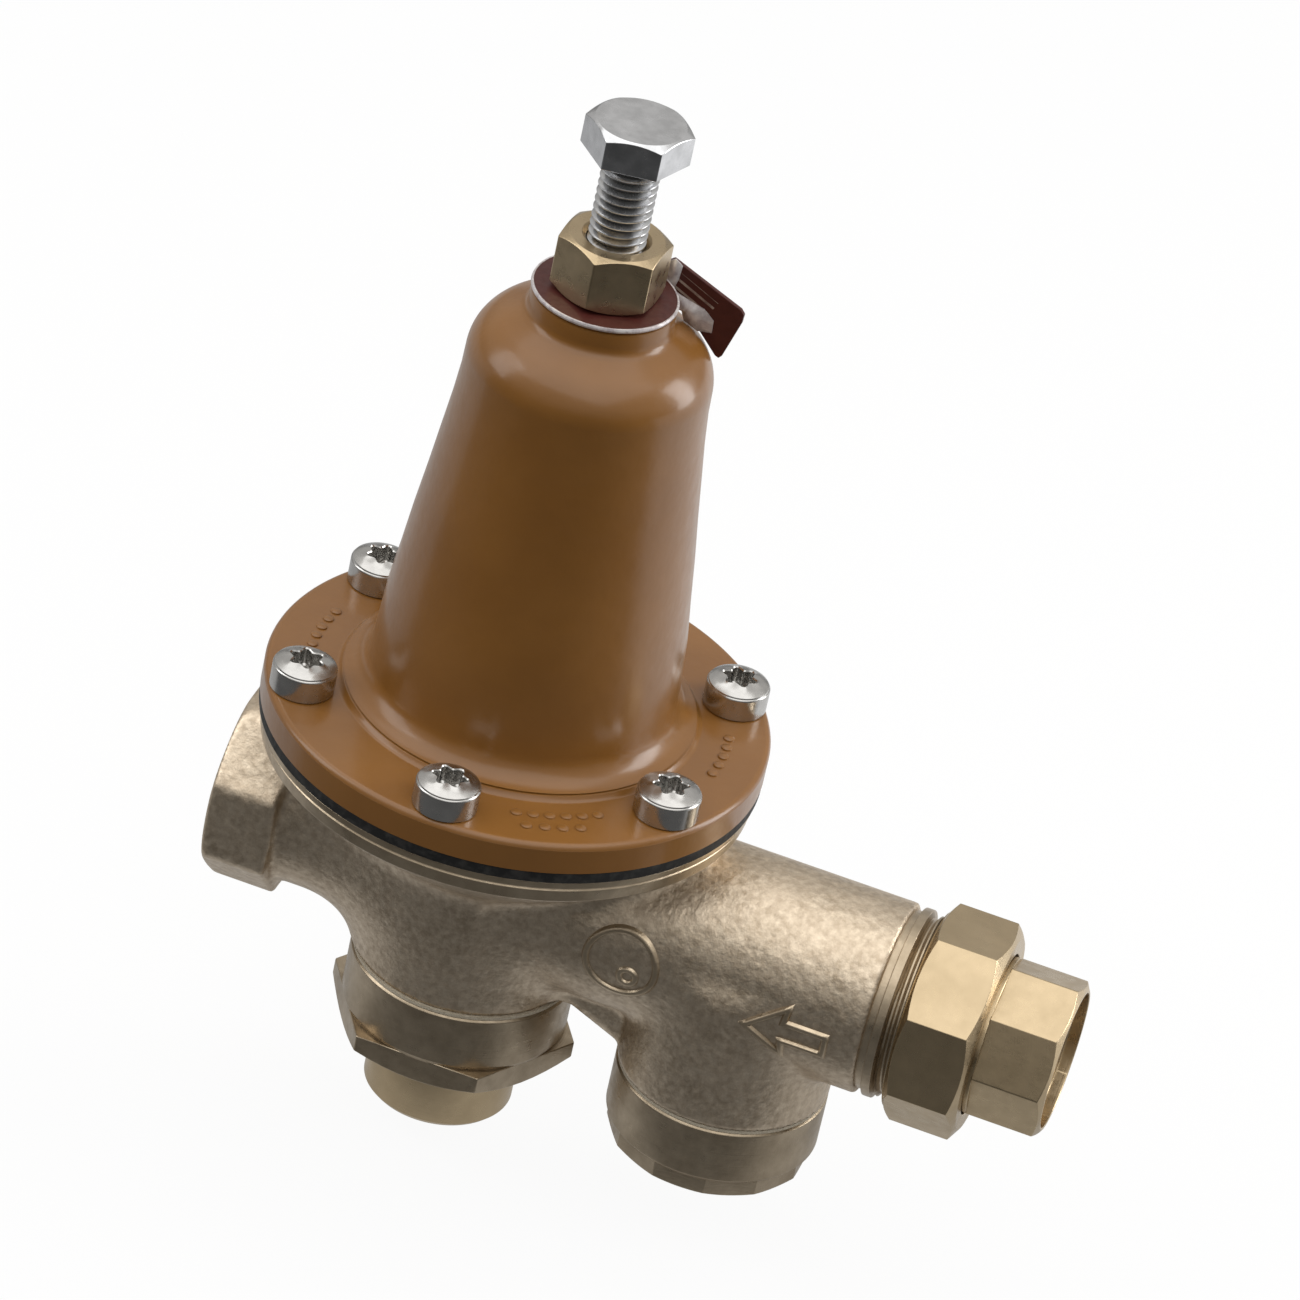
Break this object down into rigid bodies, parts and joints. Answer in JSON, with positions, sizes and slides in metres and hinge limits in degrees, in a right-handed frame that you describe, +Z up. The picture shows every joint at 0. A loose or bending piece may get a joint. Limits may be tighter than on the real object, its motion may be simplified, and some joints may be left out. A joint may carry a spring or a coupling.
{
  "type": "pressure reducing valve",
  "caption": "Water pressure reducing valve with a spring cage, adjusting screw, bolted diaphragm flange, union inlet and built-in strainer.",
  "frame": {"origin": "centre of the outlet port's mouth", "axes": "+X along the pipe from outlet to inlet, +Z up along the adjusting screw, +Y away from the side that carries the cast arrow"},
  "size_m": [0.1534, 0.088, 0.1978],
  "materials": {
    "cast_bronze": "sand cast, lightly shot blasted",
    "turned_bronze": "turned bronze",
    "brass": "machined brass",
    "cage_paint": "glossy tan enamel on cast iron",
    "zinc_steel": "bright zinc plate",
    "stainless": "stainless steel",
    "spring_steel": "oiled spring wire",
    "rubber": "matt black rubber",
    "fibre": "compressed fibre",
    "plastic": "white plastic",
    "tag_red": "maroon printed sheet metal"
  },
  "bodies": {
    "valve_body": {"body": "cast_bronze", "seat_ring": "stainless", "seat_gasket": "fibre", "spring_cage": "cage_paint", "cage_screws": "stainless", "diaphragm": "rubber", "slip_ring": "plastic"},
    "screw_button": {"spring_button": "zinc_steel", "adjusting_spring": "spring_steel"},
    "screw": {"adjusting_screw": "zinc_steel"},
    "tag": {"id_tag": "tag_red"},
    "nut": {"locknut": "brass"},
    "stem": {"valve_stem": "stainless", "upper_plate": "zinc_steel", "lower_plate": "brass", "stem_nut": "stainless", "disc_holder": "brass", "valve_disc": "rubber", "disc_retainer": "stainless"},
    "plug_seal": {"plug_gasket": "fibre"},
    "plug": {"bottom_plug": "turned_bronze", "guide_bush": "plastic"},
    "strainer": {"strainer_screen": "stainless", "cap_gasket": "fibre"},
    "cap": {"strainer_cap": "turned_bronze"},
    "tailpiece": {"union_tailpiece": "brass", "union_gasket": "fibre"},
    "ring_nut": {"union_nut": "brass"}
  },
  "joints": [
    {"name": "screw_travel", "type": "slide", "parent": "valve_body", "child": "screw_button", "axis": [0, 0, 1], "range_m": [-0.006, 0.004], "deforming": ["adjusting_spring"]},
    {"name": "screw_turn", "type": "hinge", "parent": "screw_button", "child": "screw", "pos_m": [0.0464, 0, 0.12], "axis": [0, 0, 1], "range_deg": [-1441, 961]},
    {"name": "tag_swivel", "type": "hinge", "parent": "valve_body", "child": "tag", "pos_m": [0.0464, 0, 0.1157], "axis": [0, 0, 1], "range_deg": [0, 1440]},
    {"name": "locknut_rise", "type": "slide", "parent": "tag", "child": "nut", "axis": [0, 0, 1], "range_m": [0, 0.0061]},
    {"name": "stem_lift", "type": "slide", "parent": "valve_body", "child": "stem", "axis": [0, 0, 1], "range_m": [0, 0.0023], "deforming": ["diaphragm"]},
    {"name": "plug_drop", "type": "slide", "parent": "valve_body", "child": "plug_seal", "axis": [0, 0, -1], "range_m": [0, 0.0055]},
    {"name": "plug_turn", "type": "hinge", "parent": "plug_seal", "child": "plug", "pos_m": [0.0464, 0, -0.03], "axis": [0, 0, -1], "range_deg": [0, 1321]},
    {"name": "strainer_drop", "type": "slide", "parent": "valve_body", "child": "strainer", "axis": [0, 0, -1], "range_m": [0, 0.007]},
    {"name": "cap_turn", "type": "hinge", "parent": "strainer", "child": "cap", "pos_m": [0.0959, 0, -0.03], "axis": [0, 0, -1], "range_deg": [0, 1681]},
    {"name": "union_draw", "type": "slide", "parent": "valve_body", "child": "tailpiece", "axis": [1, 0, 0], "range_m": [0, 0.01]},
    {"name": "union_turn", "type": "hinge", "parent": "tailpiece", "child": "ring_nut", "pos_m": [0.133, 0, 0], "axis": [1, 0, 0], "range_deg": [0, 1560]}
  ],
  "couplings": [
    {"joint": "screw_turn", "follows": "screw_travel", "rad_per_m": 4188.8},
    {"joint": "locknut_rise", "follows": "tag_swivel", "m_per_rad": 0.00023873},
    {"joint": "plug_turn", "follows": "plug_drop", "rad_per_m": 4188.8},
    {"joint": "cap_turn", "follows": "strainer_drop", "rad_per_m": 4188.8},
    {"joint": "union_turn", "follows": "union_draw", "rad_per_m": 2721.2}
  ]
}
